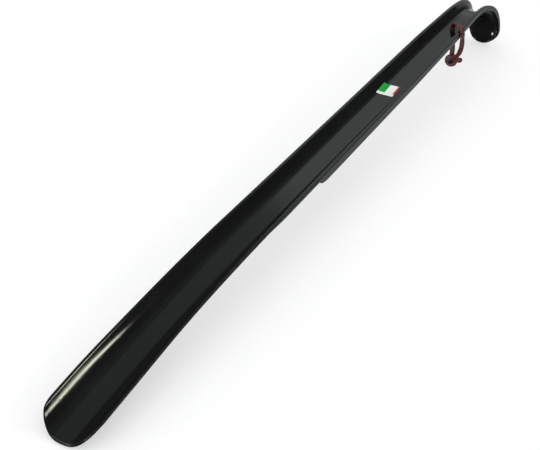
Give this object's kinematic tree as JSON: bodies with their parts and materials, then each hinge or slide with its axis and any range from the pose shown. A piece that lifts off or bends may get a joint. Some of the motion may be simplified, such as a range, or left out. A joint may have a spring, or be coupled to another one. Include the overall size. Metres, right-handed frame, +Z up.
{
  "type": "long shoehorn",
  "caption": "Long glossy black gutter-shaped shoehorn with a rounded blade, a hooked handle end, a knotted leather hanging thong and a small striped label.",
  "frame": {"origin": "middle of the footprint, on the surface that the blade's front edge and the hook's end lie on", "axes": "+Y from the blade's tip to the hook, +Z up out of the gutter's hollow, +X to the right seen from the blade's tip"},
  "size_m": [0.042, 0.654, 0.0563],
  "materials": {
    "glossy_black": "polished moulded plastic",
    "printed_film": "satin printed film in three plain colours",
    "brown_leather": "dark red-brown smooth lace"
  },
  "bodies": {
    "shoehorn": {"shoehorn_body": "glossy_black", "handle_label": "printed_film"},
    "thong": {"thong_strand": "brown_leather", "thong_knot": "brown_leather", "thong_tail_front": "brown_leather", "thong_tail_back": "brown_leather"}
  },
  "joints": [
    {"name": "thong_swing", "type": "hinge", "parent": "shoehorn", "child": "thong", "pos_m": [0, 0.24317, 0.04375], "axis": [0.6332, -0.6488, 0.422], "range_deg": [0, 35]}
  ]
}
